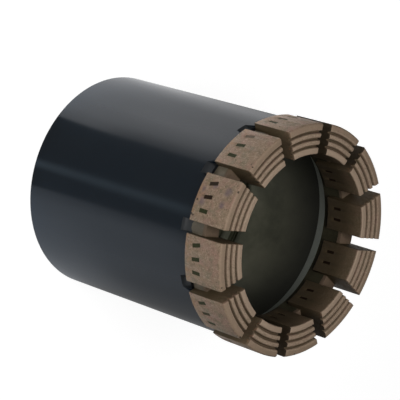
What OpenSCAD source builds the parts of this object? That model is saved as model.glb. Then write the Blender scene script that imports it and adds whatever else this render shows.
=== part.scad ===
// Diamond core bit: a threaded steel shank that carries an impregnated crown.
// Flush gauge bars keep the crown's outer and inner walls to size.
// The bit stands on its rear face with the cutting face up. Sizes are in millimetres.

/* [Crown] */
// Diameter of the hole that the crown cuts
crown_od = 116; // [113:0.5:130]
// Diameter of the core that the crown leaves
crown_id = 86; // [72:0.5:88]
// Height of the crown, from its rear edge to the cutting face
crown_h = 23; // [18:0.5:32]
// Bevel round the outer edge of the cutting face
outer_bevel = 0.7; // [0.2:0.1:1.5]
// Bevel round the inner edge of the cutting face
inner_bevel = 0.4; // [0.2:0.1:1.5]
// Thickness of the crown outside the steel nose
outer_layer = 3.9; // [3.2:0.1:5]
// Thickness of the crown inside the steel nose
inner_layer = 2.2; // [2:0.1:4]

/* [Face grooves] */
// Number of ring grooves in the cutting face
groove_count = 3; // [1:1:3]
// Distance from the core to the middle of the first ring groove
first_groove = 3.75; // [3:0.05:4]
// Distance between two ring grooves
groove_pitch = 3.5; // [2.9:0.1:4]
// Width of a ring groove below its rounded shoulders
groove_w = 1.2; // [0.8:0.1:1.2]
// Width of a ring groove at its root
groove_root_w = 0.5; // [0.2:0.1:0.8]
// Depth of a ring groove
groove_depth = 1.8; // [1:0.1:3]
// Radius of the shoulders of a ring groove
crest_r = 0.8; // [0.3:0.1:0.8]

/* [Waterways] */
// Number of waterways, and of pads
slot_count = 12; // [8:1:14]
// Width of a waterway
slot_w = 6.3; // [4:0.1:7]
// Depth of a waterway below the cutting face
slot_depth = 14.6; // [8:0.1:15]
// Thickness of the crown between a waterway and the steel nose
web_t = 2; // [1:0.1:3]
// Radius of the cutter that runs each waterway out into the shank
runout_r = 9; // [6:0.5:20]
// Length of each waterway's full depth behind the crown
runout_land = 1.2; // [0.4:0.1:4]

/* [Shank] */
// Length of the whole bit
bit_len = 139; // [120:1:180]
// Height of the crown's outer wall above the shank
gauge_step = 2.25; // [1:0.05:3]
// Wall of the shank between the taper and the thread box
shank_wall = 5.85; // [4.5:0.05:8]
// Length of the narrow bore that shows behind the crown
land_len = 4; // [1:0.5:10]
// Angle between the axis and the taper that follows the narrow bore
taper_angle = 31; // [20:1:45]
// Bevel round the outer edge of the rear face
rear_bevel = 0.8; // [0.2:0.1:1.2]

/* [Thread box] */
// Wall of the shank at the root of the internal thread
box_wall = 3.25; // [2.8:0.05:4]
// Length of the threaded wall
thread_len = 50; // [30:1:60]
// Depth of the relief beyond the thread, below the thread's root
relief_depth = 0.8; // [0.6:0.1:1.2]
// Length of the relief beyond the thread
relief_len = 6; // [3:0.5:10]
// Bevel at the mouth of the thread
mouth_bevel = 1; // [0.3:0.1:1.2]

/* [Outer gauge bars] */
// Number of bars in the outer wall of a pad
outer_bar_count = 3; // [1:1:3]
// Distance between two bars along the wall
outer_bar_pitch = 6.9; // [3:0.1:7]
// Shift of the bars from the middle of the pad
outer_bar_shift = -0.6; // [-0.6:0.1:0.6]
// Length of a bar along the bit
outer_bar_len = 5.2; // [3:0.1:7]
// Width of a bar
outer_bar_w = 2; // [1.2:0.1:2.6]
// Thickness of a bar
outer_bar_t = 2; // [1:0.1:2.8]
// Height of a bar's rear end above the crown's rear edge
outer_bar_rise = 4.5; // [2:0.1:8]
// Lean of the first bar of a pad
outer_bar_lean = 14; // [0:1:20]
// How much less each next bar of a pad leans
lean_step = 7; // [0:1:10]

/* [Inner gauge bars] */
// Number of bars in the inner wall of a pad
inner_bar_count = 2; // [1:1:2]
// Distance between two bars along the wall
inner_bar_pitch = 5.7; // [3:0.1:7]
// Shift of the bars from the middle of the pad
inner_bar_shift = 0.3; // [-0.5:0.1:0.5]
// Length of a bar along the bit
inner_bar_len = 4.6; // [3:0.1:7]
// Width of a bar
inner_bar_w = 1.4; // [1:0.1:2.4]
// Thickness of a bar
inner_bar_t = 1.4; // [0.8:0.1:1.6]
// Height of a bar's rear end above the crown's rear edge
inner_bar_rise = 3.9; // [2:0.1:8]
// Lean of the bars
inner_bar_lean = -2; // [-10:1:10]

/* [Bar seats] */
// Depth of a bar's face below the wall that it guards
bar_recess = 0.12; // [0.04:0.02:0.3]

/* [Hidden] */
$fn = 144;
over = 0.5;
crown_or = crown_od / 2;
crown_ir = crown_id / 2;
nose_or = crown_or - outer_layer;
nose_ir = crown_ir + inner_layer;
shank_or = crown_or - gauge_step;
bore_r = shank_or - shank_wall;
thread_r = shank_or - box_wall;
relief_r = thread_r + relief_depth;
seat_z = bit_len - crown_h;
floor_z = bit_len - slot_depth;
nose_z = floor_z - web_t;
taper_front_z = seat_z - land_len;
taper_rear_z = taper_front_z - (bore_r - nose_ir) / tan(taper_angle);
box_len = thread_len + relief_len;
runout_z = seat_z - runout_land;
slot_angle = 360 / slot_count;

function arc_angle(arc, r) = arc / r * 180 / PI;
function pad_node(name, pad) = str(name, pad < 9 ? "_0" : "_", pad + 1);

// The children, turned to the middle of each waterway
module at_slots() {
    for (slot = [0 : slot_count - 1])
        rotate([0, 0, slot * slot_angle])
            children();
}

// The children, turned to the middle of one pad
module at_pad(pad) {
    rotate([0, 0, (pad + 0.5) * slot_angle])
        children();
}

// A straight cut as wide as a waterway, from the axis out through the crown
module slot_cut(z_low, z_high) {
    translate([0, -slot_w / 2, z_low])
        cube([crown_or + over, slot_w, z_high - z_low]);
}

// Half of the shank's section, from the thread box at the rear to the nose
module shank_section() {
    polygon([
        [thread_r + mouth_bevel, 0],
        [shank_or - rear_bevel, 0],
        [shank_or, rear_bevel],
        [shank_or, seat_z],
        [nose_or, seat_z],
        [nose_or, nose_z],
        [nose_ir, nose_z],
        [nose_ir, taper_front_z],
        [bore_r, taper_rear_z],
        [bore_r, box_len],
        [relief_r, box_len],
        [relief_r, thread_len],
        [thread_r, thread_len],
        [thread_r, mouth_bevel]
    ]);
}

// Half section of what the round cutter takes out of the shank behind a waterway
module runout_section() {
    translate([nose_or, runout_z])
        square([gauge_step + outer_layer, runout_land]);
    intersection() {
        translate([nose_or + runout_r, runout_z])
            circle(r = runout_r);
        translate([nose_or, runout_z - runout_r])
            square([gauge_step + outer_layer, runout_r]);
    }
}

// The steel shank, with its nose inside the crown
module shank() {
    color("#23272e")
        difference() {
            rotate_extrude()
                shank_section();
            intersection() {
                rotate_extrude()
                    runout_section();
                at_slots()
                    slot_cut(runout_z - runout_r, seat_z);
            }
        }
}

// Section of one ring groove, with the cutting face at zero height
module groove_section() {
    shoulder_x = groove_w / 2 + crest_r;
    polygon([
        [-groove_w / 2, -crest_r],
        [-groove_root_w / 2, -groove_depth],
        [groove_root_w / 2, -groove_depth],
        [groove_w / 2, -crest_r]
    ]);
    difference() {
        translate([-shoulder_x, -crest_r])
            square([2 * shoulder_x, crest_r + over]);
        for (side = [-1, 1])
            translate([side * shoulder_x, -crest_r])
                circle(r = crest_r);
    }
}

// Half of the crown's section through a pad, hollow where the nose sits
module crown_section() {
    difference() {
        polygon([
            [crown_ir, seat_z],
            [nose_ir, seat_z],
            [nose_ir, nose_z],
            [nose_or, nose_z],
            [nose_or, seat_z],
            [crown_or, seat_z],
            [crown_or, bit_len - outer_bevel],
            [crown_or - outer_bevel, bit_len],
            [crown_ir + inner_bevel, bit_len],
            [crown_ir, bit_len - inner_bevel]
        ]);
        for (groove = [0 : groove_count - 1])
            translate([crown_ir + first_groove + groove * groove_pitch, bit_len])
                groove_section();
    }
}

// What the waterways take out of the crown: a slot across the face, which
// goes on down the outer and inner walls as far as the crown's rear edge
module waterways() {
    difference() {
        at_slots()
            slot_cut(seat_z - over, bit_len + over);
        translate([0, 0, seat_z - 2 * over])
            difference() {
                cylinder(r = nose_or, h = floor_z - seat_z + 2 * over);
                cylinder(r = nose_ir, h = floor_z - seat_z + 2 * over);
            }
    }
}

// The crown: pads joined by a web over the nose, with a pocket for each bar
module crown() {
    color("#8f7563")
        difference() {
            rotate_extrude()
                crown_section();
            waterways();
            for (pad = [0 : slot_count - 1]) {
                outer_bars(pad, bar_recess + over);
                inner_bars(pad, bar_recess + over);
            }
        }
}

// The bars in one pad's outer wall; grow lengthens them outwards to cut their pockets
module outer_bars(pad, grow = 0) {
    middle_z = seat_z + outer_bar_rise + outer_bar_len / 2;
    color("#3a3d2e")
        at_pad(pad)
            for (bar = [0 : outer_bar_count - 1]) {
                arc = (bar - (outer_bar_count - 1) / 2) * outer_bar_pitch + outer_bar_shift;
                rotate([0, 0, arc_angle(arc, crown_or)])
                    translate([crown_or - bar_recess - outer_bar_t, 0, middle_z])
                        rotate([outer_bar_lean - bar * lean_step, 0, 0])
                            translate([0, -outer_bar_w / 2, -outer_bar_len / 2])
                                cube([outer_bar_t + grow, outer_bar_w, outer_bar_len]);
            }
}

// The bars in one pad's inner wall; grow lengthens them inwards to cut their pockets
module inner_bars(pad, grow = 0) {
    middle_z = seat_z + inner_bar_rise + inner_bar_len / 2;
    color("#3a3d2e")
        at_pad(pad)
            for (bar = [0 : inner_bar_count - 1]) {
                arc = (bar - (inner_bar_count - 1) / 2) * inner_bar_pitch + inner_bar_shift;
                rotate([0, 0, arc_angle(arc, crown_ir)])
                    translate([crown_ir + bar_recess - grow, 0, middle_z])
                        rotate([inner_bar_lean, 0, 0])
                            translate([0, -inner_bar_w / 2, -inner_bar_len / 2])
                                cube([inner_bar_t + grow, inner_bar_w, inner_bar_len]);
            }
}

shank();
crown();
for (pad = [0 : slot_count - 1]) {
    outer_bars(pad);
    inner_bars(pad);
}
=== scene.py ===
"""Looks of the diamond core bit: its finishes, thread ridges and crown, with the light and the camera."""
import logging
import math
from collections.abc import Callable
from dataclasses import dataclass, field
from enum import Enum

import bpy
from mathutils import Matrix, Vector


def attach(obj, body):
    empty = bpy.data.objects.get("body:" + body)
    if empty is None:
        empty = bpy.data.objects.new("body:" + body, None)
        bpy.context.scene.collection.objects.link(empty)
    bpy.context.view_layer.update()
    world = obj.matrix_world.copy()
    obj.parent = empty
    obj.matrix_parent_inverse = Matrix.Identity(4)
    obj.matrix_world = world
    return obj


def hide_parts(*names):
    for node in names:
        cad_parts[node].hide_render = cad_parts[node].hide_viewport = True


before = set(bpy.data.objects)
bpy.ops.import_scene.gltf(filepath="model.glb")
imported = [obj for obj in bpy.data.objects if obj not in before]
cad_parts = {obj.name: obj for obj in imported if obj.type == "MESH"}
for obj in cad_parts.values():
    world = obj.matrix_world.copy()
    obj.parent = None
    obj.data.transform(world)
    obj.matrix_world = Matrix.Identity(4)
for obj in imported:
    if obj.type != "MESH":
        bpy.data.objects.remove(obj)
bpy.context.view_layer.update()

MM = 0.001
SMOOTH_ANGLE = math.radians(30)
log = logging.getLogger("core_bit")

Colour = tuple[float, float, float]
Place = tuple[float, float, float]
Band = tuple[float, float]
Socket = bpy.types.NodeSocket
Value = float | Socket

WHITE: Colour = (1.0, 1.0, 1.0)
FULL_TURN = 360.0

# Sockets of the Mix node for colours, by number because their names repeat
MIX_SHARE, MIX_FIRST, MIX_SECOND, MIX_RESULT = 0, 6, 7, 2


class SlotName(Enum):
    """The record's material slots that the new pieces take."""

    SHANK = "shank_paint"
    CROWN = "crown_matrix"


class Zone(Enum):
    """Parts of the shank's surface that carry a finish of their own."""

    PAINT = "paint"
    BORE = "bore"
    TAPER = "taper"
    NOSE = "nose"
    LAND = "land"
    RUNOUT = "runout"


@dataclass(frozen=True)
class BitSizes:
    """Radii and heights of the CAD part that the looks are placed by, in millimetres."""

    crown_inner: float = 43.0
    crown_rear: float = 116.0
    shank_outer: float = 55.75
    bore: float = 49.9
    thread_root: float = 52.5
    thread_end: float = 50.0
    taper_front: float = 112.0
    taper_rear: float = 104.18
    slots: int = 12
    slot_width: float = 6.3


SIZES = BitSizes()


@dataclass(frozen=True)
class Grain:
    """A noise over a surface, from 0 to 1.

    Scale is in features per millimetre, detail in octaves, and rough is the strength of
    the finer ones. Shift, in millimetres, sets the noise apart from others.
    """

    scale: float
    detail: float = 2.0
    rough: float = 0.5
    shift: Place | None = None


class Graph:
    """Adds shader nodes to one node tree and links them."""

    def __init__(self, tree: bpy.types.NodeTree, place: Socket) -> None:
        """Takes a node tree, and the output that gives the shaded point's place in metres."""
        self.tree = tree
        self.place = self.vector("SCALE", place, scale=1 / MM)

    def put(self, socket: Socket, value: Value | Colour) -> None:
        """Links a socket into an input, or writes a constant on it.

        Args:
            socket: The input to fill.
            value: An output socket, a number or a colour.
        """
        if isinstance(value, bpy.types.NodeSocket):
            self.tree.links.new(value, socket)
        elif isinstance(value, tuple) and socket.type == "RGBA":
            socket.default_value = (*value, 1.0)
        else:
            socket.default_value = value

    def math(self, operation: str, *values: Value) -> Socket:
        """Adds a math node.

        Args:
            operation: Name of the operation.
            values: Its inputs, in order.

        Returns:
            The result.
        """
        node = self.tree.nodes.new("ShaderNodeMath")
        node.operation = operation
        for socket, value in zip(node.inputs, values):
            self.put(socket, value)
        return node.outputs["Value"]

    def times(self, *values: Value) -> Socket:
        """Multiplies values, from the first to the last.

        Args:
            values: Two values or more.

        Returns:
            The product.
        """
        product, *others = values
        for value in others:
            product = self.math("MULTIPLY", product, value)
        return product

    def hypot(self, first: Socket, second: Socket) -> Socket:
        """Gives the straight distance that two distances square to each other make."""
        squares = [self.times(side, side) for side in (first, second)]
        return self.math("SQRT", self.math("ADD", *squares))

    def between(self, share: Socket, ends: Band) -> Socket:
        """Maps a share from 0 to 1 onto the range from the first end to the second."""
        low, high = ends
        return self.math("MULTIPLY_ADD", share, high - low, low)

    def vector(self, operation: str, *values: Socket | Place, scale: float | None = None) -> Socket:
        """Adds a vector math node.

        Args:
            operation: Name of the operation.
            values: Its vector inputs, in order.
            scale: The scale input, where the operation has one.

        Returns:
            The vector, or the number where the operation is a length.
        """
        node = self.tree.nodes.new("ShaderNodeVectorMath")
        node.operation = operation
        for socket, value in zip(node.inputs, values):
            self.put(socket, value)
        if scale is not None:
            node.inputs["Scale"].default_value = scale
        return node.outputs["Value" if operation == "LENGTH" else "Vector"]

    def noise(self, grain: Grain) -> Socket:
        """Adds a noise texture.

        Args:
            grain: Its scale, detail, roughness and shift.

        Returns:
            The noise, from 0 to 1.
        """
        place = self.vector("ADD", self.place, grain.shift) if grain.shift else self.place
        node = self.tree.nodes.new("ShaderNodeTexNoise")
        self.put(node.inputs["Vector"], place)
        node.inputs["Scale"].default_value = grain.scale
        node.inputs["Detail"].default_value = grain.detail
        node.inputs["Roughness"].default_value = grain.rough
        return node.outputs["Fac"]

    def cells(self, scale: float) -> Socket:
        """Adds a Voronoi texture.

        Args:
            scale: Points per millimetre.

        Returns:
            The distance to the nearest point.
        """
        node = self.tree.nodes.new("ShaderNodeTexVoronoi")
        self.put(node.inputs["Vector"], self.place)
        node.inputs["Scale"].default_value = scale
        return node.outputs["Distance"]

    def step(self, value: Value, band: Band) -> Socket:
        """Maps a value smoothly from 0 to 1 over a band.

        Args:
            value: The value to map.
            band: The values that give 0 and 1. The first may be the higher one.

        Returns:
            The mapped value.
        """
        node = self.tree.nodes.new("ShaderNodeMapRange")
        node.interpolation_type = "SMOOTHSTEP"
        falling = band[0] > band[1]
        self.put(node.inputs["Value"], value)
        node.inputs["From Min"].default_value = min(band)
        node.inputs["From Max"].default_value = max(band)
        node.inputs["To Min"].default_value = float(falling)
        node.inputs["To Max"].default_value = float(not falling)
        return node.outputs["Result"]

    def speckle(self, grain: Grain, band: Band) -> Socket:
        """Masks the surface where a noise passes through a band."""
        return self.step(self.noise(grain), band)

    def mix(self, share: Value, first: Socket | Colour, second: Socket | Colour) -> Socket:
        """Mixes two colours.

        Args:
            share: How much of the second colour shows.
            first: The colour at 0.
            second: The colour at 1.

        Returns:
            The mixed colour.
        """
        node = self.tree.nodes.new("ShaderNodeMix")
        node.data_type = "RGBA"
        self.put(node.inputs[MIX_SHARE], share)
        self.put(node.inputs[MIX_FIRST], first)
        self.put(node.inputs[MIX_SECOND], second)
        return node.outputs[MIX_RESULT]

    def axes(self, place: Socket | None = None) -> tuple[Socket, Socket, Socket]:
        """Splits coordinates into their three axes.

        Args:
            place: The coordinates, or None for the shaded point's own.

        Returns:
            X, y and z in millimetres.
        """
        node = self.tree.nodes.new("ShaderNodeSeparateXYZ")
        self.put(node.inputs["Vector"], place or self.place)
        return node.outputs["X"], node.outputs["Y"], node.outputs["Z"]


class Surface(Graph):
    """The node graph of one new material."""

    def __init__(self, name: str) -> None:
        """Starts a material whose shader is a Principled BSDF.

        Args:
            name: Name of the material.
        """
        self.material = bpy.data.materials.new(name)
        self.material.use_nodes = True
        tree = self.material.node_tree
        super().__init__(tree, tree.nodes.new("ShaderNodeTexCoord").outputs["Object"])
        self.bsdf = tree.nodes["Principled BSDF"]

    def shade(self, name: str, value: Value | Colour) -> None:
        """Fills one input of the Principled BSDF."""
        self.put(self.bsdf.inputs[name], value)

    def bump(self, height: Socket, distance: float) -> None:
        """Adds a bump to the shader.

        Args:
            height: The relief, from 0 to 1.
            distance: Height of the relief in millimetres.
        """
        node = self.tree.nodes.new("ShaderNodeBump")
        node.inputs["Distance"].default_value = distance * MM
        node.inputs["Strength"].default_value = 1.0
        self.put(node.inputs["Height"], height)
        self.put(self.bsdf.inputs["Normal"], node.outputs["Normal"])


@dataclass(frozen=True)
class Layer:
    """A colour laid over another where a measure passes through a band.

    It starts to show at the band's first value, and shows by its whole share at the second.
    """

    colour: Colour
    band: Band
    share: float = 1.0

    def lay(self, graph: Graph, under: Socket | Colour, measure: Socket, *masks: Socket) -> Socket:
        """Lays the colour over the one below, where the measure passes the band and the masks let it."""
        shown = graph.times(graph.step(measure, self.band), *masks, self.share)
        return graph.mix(shown, under, self.colour)


@dataclass(frozen=True)
class PaintFinish:
    """Dark satin paint under a thin varnish. By default it is the blue-black of the shank's outside."""

    name: str = "shank_paint"
    colour: Colour = (0.0012, 0.0050, 0.0095)
    dull: Colour = (0.0020, 0.0058, 0.0102)
    under_roughness: float = 0.6
    varnish: float = 0.2
    roughness: float = 0.17
    uneven: float = 0.03
    clouds: Grain = Grain(0.05, 3.0)
    cloudy: Band = (0.35, 0.7)
    rubbed: Grain = Grain(0.15, 3.0)

    def build(self) -> bpy.types.Material:
        """Makes the paint under its varnish, with a faint unevenness of colour and gloss.

        Returns:
            The material.
        """
        graph = Surface(self.name)
        cloudy = graph.speckle(self.clouds, self.cloudy)
        graph.shade("Base Color", graph.mix(cloudy, self.colour, self.dull))
        graph.shade("Roughness", self.under_roughness)
        graph.shade("Specular IOR Level", 0.0)
        graph.shade("Coat Weight", self.varnish)
        ends = (self.roughness - self.uneven, self.roughness + self.uneven)
        graph.shade("Coat Roughness", graph.between(graph.noise(self.rubbed), ends))
        return graph.material


@dataclass(frozen=True)
class SteelFinish:
    """Bare or oiled steel of the shank's inside and its nose.

    A painted shade darkens the steel from one height up to another, towards the bore's front end.
    Turned is the distance between two tool rings, in millimetres, and 0 leaves the steel without them.
    """

    name: str
    light: Colour
    dark: Colour
    roughness: float
    metallic: float = 0.6
    gloss: float = 0.5
    patches: Grain = Grain(0.12, 4.0, 0.6)
    patchy: Band = (0.35, 0.65)
    painted_front_shade: Layer | None = None
    turned: float = 0.0
    ring_height: float = 0.004
    skin: Grain = Grain(1.2, 3.0)
    skin_height: float = 0.02

    def build(self) -> bpy.types.Material:
        """Makes the steel, with its stains, its painted shade and its tool rings or else a rough skin.

        Returns:
            The material.
        """
        graph = Surface(self.name)
        height = graph.axes()[2]
        colour = graph.mix(graph.speckle(self.patches, self.patchy), self.light, self.dark)
        if self.painted_front_shade:
            colour = self.painted_front_shade.lay(graph, colour, height)
        graph.shade("Base Color", colour)
        graph.shade("Metallic", self.metallic)
        graph.shade("Specular IOR Level", self.gloss)
        graph.shade("Roughness", self.roughness)
        if self.turned:
            rings = graph.math("SINE", graph.times(height, math.tau / self.turned))
            graph.bump(rings, self.ring_height)
        else:
            graph.bump(graph.noise(self.skin), self.skin_height)
        return graph.material


@dataclass(frozen=True)
class CrownPoint:
    """Where the shaded point of the crown lies.

    Lengths are in millimetres and the angle is in radians. Past_wall is how far the point
    is past a waterway's wall, and below 0 it is in the waterway. The last three run from 0 to 1.
    """

    x: Socket
    y: Socket
    z: Socket
    radius: Socket
    angle: Socket
    past_wall: Socket
    in_slot: Socket
    outside: Socket
    grit: Socket


@dataclass(frozen=True)
class MatrixFinish:
    """Sintered bronze-brown matrix of the crown, with its diamond grit.

    A band goes with the grain beside it, or else it is a height, a radius, an x or y, or a
    distance past a waterway's wall, in millimetres. The two stains, partly stain and partly
    painted shade, run from their share at the face to their share deep down, and the pits'
    sizes are in cells. Each bloom is a spot of heat, by its angle in degrees, its height and
    its reach.
    """

    name: str = "crown_matrix"
    brown: Colour = (0.232, 0.162, 0.108)
    tan: Colour = (0.300, 0.220, 0.155)
    crest: Colour = (0.366, 0.272, 0.198)
    olive: Colour = (0.160, 0.135, 0.086)
    umber: Colour = (0.056, 0.040, 0.021)
    roughness: float = 0.62
    gloss: float = 0.10

    slot_wall: Band = (0.25, 0.02)
    slot_way: Band = (-0.4, -0.1)
    bore_wall: Band = (0.25, 0.05)
    outer_wall: Band = (56.8, 57.4)

    mottling: Grain = Grain(0.16, 3.0)
    pink: Layer = Layer((0.262, 0.160, 0.118), (0.42, 0.68))
    clouds: Grain = Grain(0.22, 3.0, shift=(31.0, 7.0, 13.0))
    cloudy: Layer = Layer(olive, (0.50, 0.70), 0.8)
    grit: Grain = Grain(1.3, 3.0, 0.65)
    gritty: tuple[Layer, ...] = (
        Layer(tan, (0.52, 0.68), 0.85),
        Layer(olive, (0.47, 0.32), 0.85),
        Layer(crest, (0.57, 0.70), 0.6),
        Layer(umber, (0.41, 0.28), 0.4),
    )
    blots: Grain = Grain(0.45, 3.0, 0.6, (5.0, 23.0, 41.0))
    blotted: tuple[Layer, ...] = (
        Layer(tan, (0.55, 0.70), 0.8),
        Layer(umber, (0.44, 0.30), 0.35),
    )

    rear_edge: Layer = Layer((0.270, 0.150, 0.072), (121.5, 117.0), 0.55)
    rear_patches: Grain = Grain(0.30)
    rear_patchy: Band = (0.45, 0.62)
    violet: Colour = (0.090, 0.072, 0.094)
    violet_share: float = 0.6
    bloom_core: float = 0.3
    ragged: Grain = Grain(0.45)
    ragged_by: float = 1.5
    blooms: tuple[tuple[float, float, float], ...] = (
        (159.6, 133.6, 3.2),
        (166.2, 133.2, 2.7),
        (167.6, 120.4, 3.0),
        (158.2, 124.6, 2.4),
        (161.0, 118.6, 1.8),
    )

    web: Layer = Layer((0.310, 0.215, 0.170), (125.2, 124.8), 0.5)
    web_way: Band = (-0.2, -0.35)
    worn: Band = (138.2, 138.9)
    worn_share: float = 0.7
    # Wear and painted highlight: the crests' very tops take the crest colour
    worn_top_and_highlight: Layer = Layer(crest, (138.70, 138.98))
    top_inside: Band = (55.6, 54.6)
    top_grit: Band = (0.35, 0.62)
    worn_bore_edge: Layer = Layer(crest, (46.5, 45.5))
    # Painted shade: the roots of the ring grooves are darkened
    groove_root_shade: Layer = Layer(umber, (138.7, 137.4), 0.7)
    root_inside: Band = (57.9, 57.7)

    # Stain and painted shade: the walls of the waterways and the bore darken towards the depth
    deep: Band = (138.0, 126.0)
    slot_stain_and_shade: Band = (0.40, 0.95)
    bore_stain_and_shade: Band = (0.05, 0.80)
    rust: Layer = Layer((0.240, 0.095, 0.035), (135.0, 137.5))
    rust_spots: Grain = Grain(0.75)
    rust_spotted: Band = (0.58, 0.70)
    # Painted shade: near-black laid in the far side's waterways whose walls face sideways
    far_slot_shade: Layer = Layer((0.016, 0.011, 0.006), (-20.0, -6.0), 0.85)
    shaded_side: Band = (33.0, 41.0)

    pit: Colour = (0.022, 0.015, 0.011)
    pit_share: float = 0.85
    pit_scale: float = 0.42
    pit_sizes: Band = (0.10, 0.26)
    pit_places: Grain = Grain(0.35, 1.0, shift=(17.0, 3.0, 29.0))
    pitted: Band = (0.50, 0.60)
    front_rim: Band = (137.4, 138.3)
    rear_rim: Band = (118.4, 117.2)
    relief: Grain = Grain(0.5)
    relief_height: float = 0.10

    def locate(self, graph: Surface) -> CrownPoint:
        """Works out where the shaded point lies.

        Args:
            graph: The crown's node graph.

        Returns:
            The point.
        """
        x, y, z = graph.axes()
        radius = graph.hypot(x, y)
        angle = graph.math("ARCTAN2", y, x)
        half_pad = math.pi / SIZES.slots
        turn = graph.math("WRAP", angle, half_pad, -half_pad)
        across = graph.math("ABSOLUTE", graph.times(graph.math("SINE", turn), radius))
        past_wall = graph.math("SUBTRACT", across, SIZES.slot_width / 2)
        in_slot = graph.times(graph.step(past_wall, self.slot_wall), graph.step(past_wall, self.slot_way))
        outside = graph.step(radius, self.outer_wall)
        return CrownPoint(x, y, z, radius, angle, past_wall, in_slot, outside, graph.noise(self.grit))

    def mottle(self, graph: Surface, at: CrownPoint) -> Socket:
        """Colours the bare matrix: brown and pink with olive clouds, grit and blots.

        Args:
            graph: The crown's node graph.
            at: The shaded point.

        Returns:
            The colour.
        """
        colour = self.pink.lay(graph, self.brown, graph.noise(self.mottling))
        colour = self.cloudy.lay(graph, colour, graph.noise(self.clouds))
        for layer in self.gritty:
            colour = layer.lay(graph, colour, at.grit)
        blot = graph.noise(self.blots)
        for layer in self.blotted:
            colour = layer.lay(graph, colour, blot)
        return colour

    def bloom(self, graph: Surface, at: CrownPoint) -> Socket:
        """Masks the soft violet spots of heat that one pad's outer wall shows.

        A degree is about a millimetre on this wall, so the spots are nearly round.

        Args:
            graph: The crown's node graph.
            at: The shaded point.

        Returns:
            The mask.
        """
        mask: Value = 0.0
        degrees = graph.math("DEGREES", at.angle)
        ragged = graph.between(graph.noise(self.ragged), (-self.ragged_by, self.ragged_by))
        for azimuth, height, reach in self.blooms:
            along = graph.math("SUBTRACT", degrees, azimuth)
            up = graph.math("SUBTRACT", at.z, height)
            away = graph.math("ADD", graph.hypot(along, up), ragged)
            mask = graph.math("MAXIMUM", mask, graph.step(away, (reach, self.bloom_core)))
        return mask

    def heat(self, graph: Surface, at: CrownPoint, colour: Socket) -> Socket:
        """Lays ochre along the outer wall's rear edge, and the violet spots.

        Args:
            graph: The crown's node graph.
            at: The shaded point.
            colour: The colour below.

        Returns:
            The colour.
        """
        patchy = graph.speckle(self.rear_patches, self.rear_patchy)
        colour = self.rear_edge.lay(graph, colour, at.z, at.outside, patchy)
        spotted = graph.times(self.bloom(graph, at), at.outside, self.violet_share)
        return graph.mix(spotted, colour, self.violet)

    def wear(self, graph: Surface, at: CrownPoint, colour: Socket) -> Socket:
        """Lays the paler web and worn crests with a painted highlight on their tops, and painted shade in
        the roots of the ring grooves.

        Args:
            graph: The crown's node graph.
            at: The shaded point.
            colour: The colour below.

        Returns:
            The colour.
        """
        colour = self.web.lay(graph, colour, at.z, graph.step(at.past_wall, self.web_way))
        worn = graph.times(graph.step(at.z, self.worn), graph.math("SUBTRACT", 1.0, at.in_slot))
        colour = graph.mix(graph.times(worn, self.worn_share), colour, self.tan)
        inside = graph.step(at.radius, self.top_inside)
        gritty = graph.step(at.grit, self.top_grit)
        colour = self.worn_top_and_highlight.lay(graph, colour, at.z, worn, inside, gritty)
        colour = self.worn_bore_edge.lay(graph, colour, at.radius, worn)
        return self.groove_root_shade.lay(graph, colour, at.z, graph.step(at.radius, self.root_inside))

    def lay_stains_and_shade(self, graph: Surface, at: CrownPoint, colour: Socket) -> Socket:
        """Stains the walls of the waterways and the bore, with painted shade deeper down and in the far
        side's waterways.

        Args:
            graph: The crown's node graph.
            at: The shaded point.
            colour: The colour below.

        Returns:
            The colour.
        """
        # Deeper down the walls take more of the stain, which is partly painted shade
        deep = graph.step(at.z, self.deep)
        past_bore = graph.math("SUBTRACT", at.radius, SIZES.crown_inner)
        in_slot = graph.times(at.in_slot, graph.between(deep, self.slot_stain_and_shade))
        in_bore = graph.times(graph.step(past_bore, self.bore_wall), graph.between(deep, self.bore_stain_and_shade))
        walls = self.rust.lay(graph, self.umber, at.z, graph.speckle(self.rust_spots, self.rust_spotted))
        colour = graph.mix(graph.math("MAXIMUM", in_slot, in_bore), colour, walls)
        # Painted shade in the far side's waterways, by how far the point lies to the side
        side = graph.step(graph.math("ABSOLUTE", at.y), self.shaded_side)
        return self.far_slot_shade.lay(graph, colour, at.x, side, at.in_slot)

    def pits(self, graph: Surface, at: CrownPoint) -> Socket:
        """Masks the pits, which are larger along the two edges of the outer wall.

        Args:
            graph: The crown's node graph.
            at: The shaded point.

        Returns:
            The mask.
        """
        rims = graph.math("MAXIMUM", graph.step(at.z, self.front_rim), graph.step(at.z, self.rear_rim))
        size = graph.between(graph.times(at.outside, rims), self.pit_sizes)
        pit = graph.math("LESS_THAN", graph.cells(self.pit_scale), size)
        return graph.times(pit, graph.speckle(self.pit_places, self.pitted))

    def build(self) -> bpy.types.Material:
        """Makes the matrix, from the bare mottling to the pits.

        Returns:
            The material.
        """
        graph = Surface(self.name)
        at = self.locate(graph)
        colour = self.heat(graph, at, self.mottle(graph, at))
        colour = self.lay_stains_and_shade(graph, at, self.wear(graph, at, colour))
        pit = self.pits(graph, at)
        graph.shade("Base Color", graph.mix(graph.times(pit, self.pit_share), colour, self.pit))
        graph.shade("Roughness", self.roughness)
        graph.shade("Metallic", 0.0)
        graph.shade("Specular IOR Level", self.gloss)
        grain = graph.math("ADD", at.grit, graph.noise(self.relief))
        graph.bump(graph.math("SUBTRACT", grain, pit), self.relief_height)
        return graph.material


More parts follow.
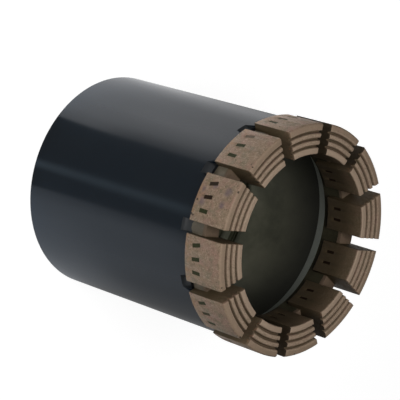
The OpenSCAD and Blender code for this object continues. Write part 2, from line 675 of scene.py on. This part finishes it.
@dataclass(frozen=True)
class BarFinish:
    """Dark olive carbide of the gauge bars.

    The marked bars of the outer wall are given by their angle in degrees and their colour,
    and the mark's reach is in degrees too. The inner wall's bars, told by their radius, are
    darkened as painted shade.
    """

    name: str = "gauge_bar"
    colour: Colour = (0.029, 0.032, 0.014)
    roughness: float = 0.55
    gloss: float = 0.03
    smear: Colour = (0.075, 0.052, 0.034)
    smears: Grain = Grain(0.12)
    smeared: Band = (0.52, 0.60)
    specks: Grain = Grain(0.8)
    specked: Band = (0.3, 0.7)
    # Painted shade: the bars in the inner wall are darker than those outside
    inner: Layer = Layer((0.013, 0.007, 0.004), (51.0, 49.0))
    marked: tuple[tuple[float, Colour], ...] = (
        (127.6, (0.120, 0.090, 0.064)),
        (157.6, (0.026, 0.017, 0.013)),
        (164.4, (0.020, 0.010, 0.007)),
    )
    mark_reach: Band = (2.8, 2.2)
    mark_share: float = 0.9
    relief: Grain = Grain(1.5)
    relief_height: float = 0.03

    def build(self) -> bpy.types.Material:
        """Makes the bars' finish, with smears of matrix, the marked bars and the inner ones darkened as
        painted shade.

        Returns:
            The material.
        """
        graph = Surface(self.name)
        x, y, _ = graph.axes()
        degrees = graph.math("DEGREES", graph.math("ARCTAN2", y, x))
        smeared = graph.speckle(self.smears, self.smeared)
        specked = graph.speckle(self.specks, self.specked)
        colour = graph.mix(graph.times(smeared, specked), self.colour, self.smear)
        for azimuth, mark in self.marked:
            away = graph.math("ABSOLUTE", graph.math("SUBTRACT", degrees, azimuth))
            colour = Layer(mark, self.mark_reach, self.mark_share).lay(graph, colour, away)
        graph.shade("Base Color", self.inner.lay(graph, colour, graph.hypot(x, y)))
        graph.shade("Roughness", self.roughness)
        graph.shade("Specular IOR Level", self.gloss)
        graph.bump(graph.noise(self.relief), self.relief_height)
        return graph.material


FINISHES: dict[Zone, PaintFinish | SteelFinish] = {
    Zone.PAINT: PaintFinish(),
    Zone.BORE: SteelFinish(
        name="bore_steel",
        light=(0.078, 0.076, 0.048),
        dark=(0.036, 0.037, 0.020),
        roughness=0.42,
        patches=Grain(0.035, 4.0, 0.6),
        # Painted shade: the bore grows darker towards its front end under the crown
        painted_front_shade=Layer((0.014, 0.014, 0.009), (66.0, 110.0)),
    ),
    Zone.TAPER: SteelFinish(
        name="taper_steel",
        light=(0.105, 0.118, 0.092),
        dark=(0.085, 0.096, 0.076),
        roughness=0.40,
        turned=0.4,
    ),
    Zone.NOSE: SteelFinish(
        name="nose_steel",
        light=(0.138, 0.116, 0.082),
        dark=(0.082, 0.069, 0.048),
        roughness=0.60,
        metallic=0.0,
        gloss=0.2,
    ),
    # Painted shade: the land under the crown is a much darker copy of the nose's steel
    Zone.LAND: SteelFinish(
        name="land_steel_shaded",
        light=(0.036, 0.032, 0.018),
        dark=(0.022, 0.019, 0.010),
        roughness=0.60,
        metallic=0.0,
        gloss=0.1,
    ),
    # Painted light: the cut-outs take a paler copy of the shank's paint for the light they catch
    Zone.RUNOUT: PaintFinish(
        name="runout_paint_lit",
        colour=(0.0170, 0.0190, 0.0210),
        dull=(0.0260, 0.0280, 0.0300),
        roughness=0.34,
        varnish=0.34,
    ),
}


def pick(piece: bpy.types.Object, wanted: Callable[[Vector], bool]) -> None:
    """Opens a mesh for editing, with only the wanted vertices selected.

    Args:
        piece: The active object.
        wanted: Tells by its place, in metres, whether a vertex is wanted.
    """
    bpy.ops.object.mode_set(mode="EDIT")
    bpy.ops.mesh.select_mode(type="VERT")
    bpy.ops.mesh.select_all(action="DESELECT")
    bpy.ops.object.mode_set(mode="OBJECT")
    for vertex in piece.data.vertices:
        vertex.select = wanted(vertex.co)
    bpy.ops.object.mode_set(mode="EDIT")


@dataclass
class Shank:
    """The steel shank: the CAD surface dressed zone by zone.

    Slack is how far a face's centre may lie off the wall or the height that bounds a zone.
    Painted_from is a radius and runout_from is a height. All are in millimetres.
    """

    slack: float = 0.05
    painted_from: float = 54.0
    runout_from: float = 100.0

    def zone(self, centre: Vector) -> Zone:
        """Names the zone that a face of the shank belongs to.

        Args:
            centre: The face's centre, in metres.

        Returns:
            The zone.
        """
        radius = math.hypot(centre.x, centre.y) / MM
        height = centre.z / MM
        if radius > self.painted_from and height < SIZES.crown_rear + self.slack:
            cut = radius < SIZES.shank_outer - self.slack and height > self.runout_from
            return Zone.RUNOUT if cut else Zone.PAINT
        if height > SIZES.crown_rear - self.slack and radius > SIZES.bore:
            return Zone.NOSE
        if SIZES.taper_rear < height < SIZES.taper_front and radius < SIZES.bore:
            return Zone.TAPER
        return Zone.LAND if height > SIZES.taper_front else Zone.BORE

    def build(self) -> None:
        """Puts a material slot for each zone on the shank."""
        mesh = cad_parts["shank"].data
        mesh.materials.clear()
        order = list(FINISHES)
        for key in order:
            mesh.materials.append(FINISHES[key].build())
        for face in mesh.polygons:
            face.material_index = order.index(self.zone(face.center))
        log.info("shank dressed in %d zones", len(order))


@dataclass
class ThreadBox:
    """The coarse right-handed thread inside the shank's rear end.

    Lengths are in millimetres, and the steps are those of one turn.
    """

    pitch: float = 8.5
    crest: float = 50.6
    crest_width: float = 3.4
    foot_width: float = 4.4
    foot_sink: float = 0.1
    mouth: float = 1.2
    steps: int = 72
    weld: float = 0.001

    def profile(self) -> bpy.types.Object:
        """Models the section of the ridge: a plane at the foot, narrowed towards the crest.

        Returns:
            The section's object.
        """
        foot = SIZES.thread_root + self.foot_sink
        middle = (foot + self.crest) / 2 * MM
        start = -self.pitch / 2 * MM
        upright = (math.pi / 2, 0, 0)
        bpy.ops.object.select_all(action="DESELECT")
        bpy.ops.mesh.primitive_plane_add(size=MM, location=(middle, 0, start), rotation=upright)
        ridge = bpy.context.object
        ridge.name = "thread_ridges"
        ridge.scale = (foot - self.crest, self.foot_width, 1.0)
        bpy.ops.object.transform_apply(location=True, rotation=True, scale=True)
        pick(ridge, lambda place: place.x < middle)
        narrowed = (1.0, 1.0, self.crest_width / self.foot_width)
        bpy.ops.transform.resize(value=narrowed, center_override=(self.crest * MM, 0, start))
        bpy.ops.object.mode_set(mode="OBJECT")
        return ridge

    def build(self) -> bpy.types.Object:
        """Winds the section along the thread, and trims both ends flat.

        Returns:
            The ridges.
        """
        ridge = self.profile()
        screw = ridge.modifiers.new("thread", "SCREW")
        screw.axis = "Z"
        screw.angle = math.tau
        screw.screw_offset = self.pitch * MM
        screw.iterations = math.ceil(SIZES.thread_end / self.pitch) + 1
        screw.steps = screw.render_steps = self.steps
        screw.use_merge_vertices = True
        screw.merge_threshold = self.weld * MM
        bpy.ops.object.modifier_apply(modifier="thread")
        bpy.ops.object.mode_set(mode="EDIT")
        for height, up in ((self.mouth, False), (SIZES.thread_end, True)):
            bpy.ops.mesh.select_all(action="SELECT")
            bpy.ops.mesh.bisect(plane_co=(0, 0, height * MM), plane_no=(0, 0, 1), use_fill=True,
                                clear_outer=up, clear_inner=not up)
        bpy.ops.mesh.select_all(action="SELECT")
        bpy.ops.mesh.normals_make_consistent(inside=False)
        bpy.ops.object.mode_set(mode="OBJECT")
        bpy.ops.object.shade_smooth_by_angle(angle=SMOOTH_ANGLE)
        ridge.data.materials.append(FINISHES[Zone.BORE].build())
        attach(ridge, "root")
        log.info("%s: %d faces", ridge.name, len(ridge.data.polygons))
        return ridge


@dataclass
class Crown:
    """The sintered crown, with its edges broken as the moulded piece has them.

    Lengths are in millimetres and angles in degrees.
    """

    weld: float = 0.002
    flat_angle: float = 0.2
    edge: float = 0.22
    edge_angle: float = 35.0
    edge_segments: int = 2
    finish: MatrixFinish = field(default_factory=MatrixFinish)

    def copy_node(self) -> bpy.types.Object:
        """Copies the CAD crown, welds it and clears its flat faces of inner edges.

        Returns:
            The copy, free of the CAD node's parent and properties.
        """
        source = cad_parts["crown"]
        bpy.ops.object.select_all(action="DESELECT")
        crown = source.copy()
        crown.data = source.data.copy()
        crown.parent = None
        for key in list(crown.keys()):
            del crown[key]
        crown.name = "sintered_crown"
        bpy.context.scene.collection.objects.link(crown)
        crown.select_set(True)
        bpy.context.view_layer.objects.active = crown
        bpy.ops.object.mode_set(mode="EDIT")
        bpy.ops.mesh.select_all(action="SELECT")
        bpy.ops.mesh.customdata_custom_splitnormals_clear()
        bpy.ops.mesh.remove_doubles(threshold=self.weld * MM)
        bpy.ops.mesh.dissolve_limited(angle_limit=math.radians(self.flat_angle))
        bpy.ops.object.mode_set(mode="OBJECT")
        return crown

    def build(self) -> bpy.types.Object:
        """Bevels the copied crown's edges and dresses it.

        Returns:
            The crown that stands for the CAD node.
        """
        crown = self.copy_node()
        bevel = crown.modifiers.new("edges", "BEVEL")
        bevel.width = self.edge * MM
        bevel.segments = self.edge_segments
        bevel.limit_method = "ANGLE"
        bevel.angle_limit = math.radians(self.edge_angle)
        bpy.ops.object.modifier_apply(modifier="edges")
        bpy.ops.object.shade_smooth_by_angle(angle=SMOOTH_ANGLE)
        crown.data.materials.clear()
        crown.data.materials.append(self.finish.build())
        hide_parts("crown")
        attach(crown, "root")
        log.info("%s: %d faces", crown.name, len(crown.data.polygons))
        return crown


@dataclass
class GaugeBars:
    """The gauge bars in the crown's two walls."""

    finish: BarFinish = field(default_factory=BarFinish)

    def build(self) -> None:
        """Dresses each group of bars."""
        material = self.finish.build()
        groups = [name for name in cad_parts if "gauge_bars" in name]
        for name in groups:
            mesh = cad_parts[name].data
            mesh.materials.clear()
            mesh.materials.append(material)
        log.info("gauge bars: %d groups dressed", len(groups))


@dataclass(frozen=True)
class Lamp:
    """A soft rectangular lamp, placed round the bit's axis and aimed at a point.

    Lengths are in metres, the azimuth in degrees and the power in watts.
    """

    name: str
    azimuth: float
    distance: float
    height: float
    size: tuple[float, float]
    power: float
    aim: Place = (0.0, 0.0, 0.08)

    def build(self) -> None:
        """Adds the lamp to the scene, hidden from the camera."""
        data = bpy.data.lights.new(self.name, "AREA")
        data.shape = "RECTANGLE"
        data.size, data.size_y = self.size
        data.energy = self.power
        lamp = bpy.data.objects.new(self.name, data)
        bpy.context.scene.collection.objects.link(lamp)
        turn = math.radians(self.azimuth)
        place = Vector((self.distance * math.cos(turn), self.distance * math.sin(turn), self.height))
        lamp.location = place
        lamp.rotation_euler = (Vector(self.aim) - place).to_track_quat("-Z", "Y").to_euler()
        lamp.visible_camera = False


@dataclass(frozen=True)
class LightTable:
    """A graded light panel on the floor round the bit, which shines up at its sides.

    Each stop gives an angle in degrees, the brightness near the shank's foot and that
    farther out. The angle is taken about a point inside the shank, which is the focus of
    the shank's wall as a mirror for the camera. Lengths are in millimetres, and the three
    bands are distances from the shank's wall: where near turns to far, where the panel
    starts and where it ends.
    """

    name: str
    stops: tuple[tuple[float, float, float], ...]
    tint: Colour
    lift: float
    focus: tuple[float, float] = (-27.7, 4.5)
    size: float = 420.0
    near_to_far: Band = (20.0, 60.0)
    start: Band = (-0.2, 0.3)
    end: Band = (137.0, 129.0)

    def ramp(self, graph: Graph, turn: Socket, column: int, full: float) -> Socket:
        """Adds a ramp of brightness round the bit.

        Args:
            graph: The lamp's node graph.
            turn: The angle, in turns.
            column: Which number of each stop is used.
            full: The brightness that the ramp's white stands for.

        Returns:
            The ramp's colour.
        """
        node = graph.tree.nodes.new("ShaderNodeValToRGB")
        graph.put(node.inputs["Fac"], turn)
        ramp = node.color_ramp
        first, *others = self.stops
        ramp.elements.remove(ramp.elements[1])
        ramp.elements[0].position = first[0] / FULL_TURN
        ramp.elements[0].color = (*[first[column] / full] * 3, 1.0)
        for stop in others:
            ramp.elements.new(stop[0] / FULL_TURN).color = (*[stop[column] / full] * 3, 1.0)
        return node.outputs["Color"]

    def build(self) -> None:
        """Adds the panel to the scene, hidden from the camera."""
        data = bpy.data.lights.new(self.name, "AREA")
        data.shape = "SQUARE"
        data.size = self.size * MM
        # With this energy a strength of 1 in the nodes is a brightness of 1
        data.energy = math.pi * data.size * data.size
        data.color = self.tint
        data.use_nodes = True
        tree = data.node_tree
        graph = Graph(tree, tree.nodes.new("ShaderNodeNewGeometry").outputs["Position"])
        x, y, _ = graph.axes(graph.vector("SUBTRACT", graph.place, (*self.focus, 0.0)))
        signed = graph.math("DIVIDE", graph.math("ARCTAN2", y, x), math.tau)
        turn = graph.math("FRACT", graph.math("ADD", signed, 1.0))
        flat = graph.vector("MULTIPLY", graph.place, (1.0, 1.0, 0.0))
        out = graph.math("SUBTRACT", graph.vector("LENGTH", flat), SIZES.shank_outer)
        full = max(max(near, far) for _, near, far in self.stops)
        near, far = (self.ramp(graph, turn, column, full) for column in (1, 2))
        emission = tree.nodes["Emission"]
        graph.put(emission.inputs["Color"], graph.mix(graph.step(out, self.near_to_far), near, far))
        shown = graph.times(graph.step(out, self.start), graph.step(out, self.end), full)
        graph.put(emission.inputs["Strength"], shown)
        panel = bpy.data.objects.new(self.name, data)
        bpy.context.scene.collection.objects.link(panel)
        panel.location = (0, 0, self.lift * MM)
        panel.rotation_euler = (math.pi, 0, 0)
        panel.visible_camera = False


@dataclass
class Studio:
    """Floor, lamps and camera.

    Places are in metres, the roll is in degrees, and the lens and sensor are in millimetres.
    """

    camera_at: Place = (-0.72599, 0.11866, 0.74080)
    camera_aim: Place = (0.00067, 0.00424, 0.06587)
    camera_roll: float = 107.165
    lens: float = 177.08
    sensor: float = 36.0
    clip: Band = (0.01, 20.0)
    floor_size: float = 6.0
    floor_colour: Colour = (0.60, 0.60, 0.60)
    floor_seen: Colour = (0.30, 0.30, 0.30)
    floor_white: float = 0.92
    sky: float = 0.0
    lamps: tuple[Lamp, ...] = (
        Lamp("high_front", azimuth=165.0, distance=0.25, height=0.60, size=(0.25, 0.25), power=2.1),
        Lamp("low_front", azimuth=175.0, distance=1.0, height=0.15, size=(0.6, 0.25), power=2.7),
    )
    tables: tuple[LightTable, ...] = (
        LightTable("table_left", (
            (20.0, 0.0, 0.0),
            (45.0, 2.9, 2.6),
            (65.0, 2.7, 2.5),
            (80.0, 3.5, 3.9),
            (95.0, 4.7, 5.4),
            (110.0, 5.0, 4.4),
            (122.8, 3.7, 1.2),
            (124.3, 0.0, 0.0),
        ), tint=(1.0, 1.0, 1.02), lift=0.1),
        LightTable("table_right", (
            (198.5, 0.0, 0.0),
            (200.0, 1.5, 1.4),
            (212.0, 2.5, 2.5),
            (228.0, 2.6, 2.1),
            (246.0, 2.1, 1.7),
            (268.0, 1.4, 0.6),
            (295.0, 0.0, 0.0),
        ), tint=(0.93, 1.0, 1.10), lift=0.25),
        LightTable("table_streak", (
            (169.5, 0.0, 0.0),
            (174.3, 1.7, 1.7),
            (176.7, 1.7, 1.7),
            (181.5, 0.0, 0.0),
        ), tint=(0.75, 1.0, 1.20), lift=0.4),
    )

    def camera(self) -> None:
        """Adds the camera at the photograph's viewing angle."""
        data = bpy.data.cameras.new("camera")
        data.lens = self.lens
        data.sensor_width = self.sensor
        data.clip_start, data.clip_end = self.clip
        cam = bpy.data.objects.new("camera", data)
        bpy.context.scene.collection.objects.link(cam)
        at, aim = Vector(self.camera_at), Vector(self.camera_aim)
        level = (aim - at).to_track_quat("-Z", "Y").to_matrix().to_4x4()
        roll = Matrix.Rotation(math.radians(self.camera_roll), 4, "Z")
        cam.matrix_world = Matrix.Translation(at) @ level @ roll
        bpy.context.scene.camera = cam

    def floor(self) -> None:
        """Adds the plain pale floor, which shows as white and keeps a faint shadow."""
        bpy.ops.mesh.primitive_plane_add(size=self.floor_size, location=(0, 0, 0))
        floor = bpy.context.object
        floor.name = "floor"
        graph = Surface("floor")
        rays = graph.tree.nodes.new("ShaderNodeLightPath").outputs
        mirrored = graph.math("MAXIMUM", rays["Is Glossy Ray"], rays["Is Transmission Ray"])
        seen = graph.math("MAXIMUM", rays["Is Camera Ray"], mirrored)
        graph.shade("Base Color", graph.mix(seen, self.floor_colour, self.floor_seen))
        graph.shade("Emission Color", WHITE)
        graph.shade("Emission Strength", graph.times(seen, self.floor_white))
        graph.shade("Roughness", 1.0)
        graph.shade("Specular IOR Level", 0.0)
        floor.data.materials.append(graph.material)

    def world(self) -> None:
        """Adds the world, whose even light is off while the lamps light the bit."""
        world = bpy.data.worlds.new("world")
        bpy.context.scene.world = world
        world.use_nodes = True
        background = world.node_tree.nodes["Background"]
        background.inputs["Color"].default_value = (*WHITE, 1.0)
        background.inputs["Strength"].default_value = self.sky

    def build(self) -> None:
        """Makes the studio."""
        self.camera()
        self.floor()
        self.world()
        for light in (*self.lamps, *self.tables):
            light.build()
        log.info("studio: %d lamps and %d light tables", len(self.lamps), len(self.tables))


def main() -> None:
    """Builds the pieces in order, then the studio."""
    logging.basicConfig(level=logging.INFO, format="%(name)s %(message)s")
    bpy.context.scene.view_settings.view_transform = "Standard"
    Shank().build()
    ThreadBox().build()
    Crown().build()
    GaugeBars().build()
    Studio().build()


if __name__ == "__main__":
    main()
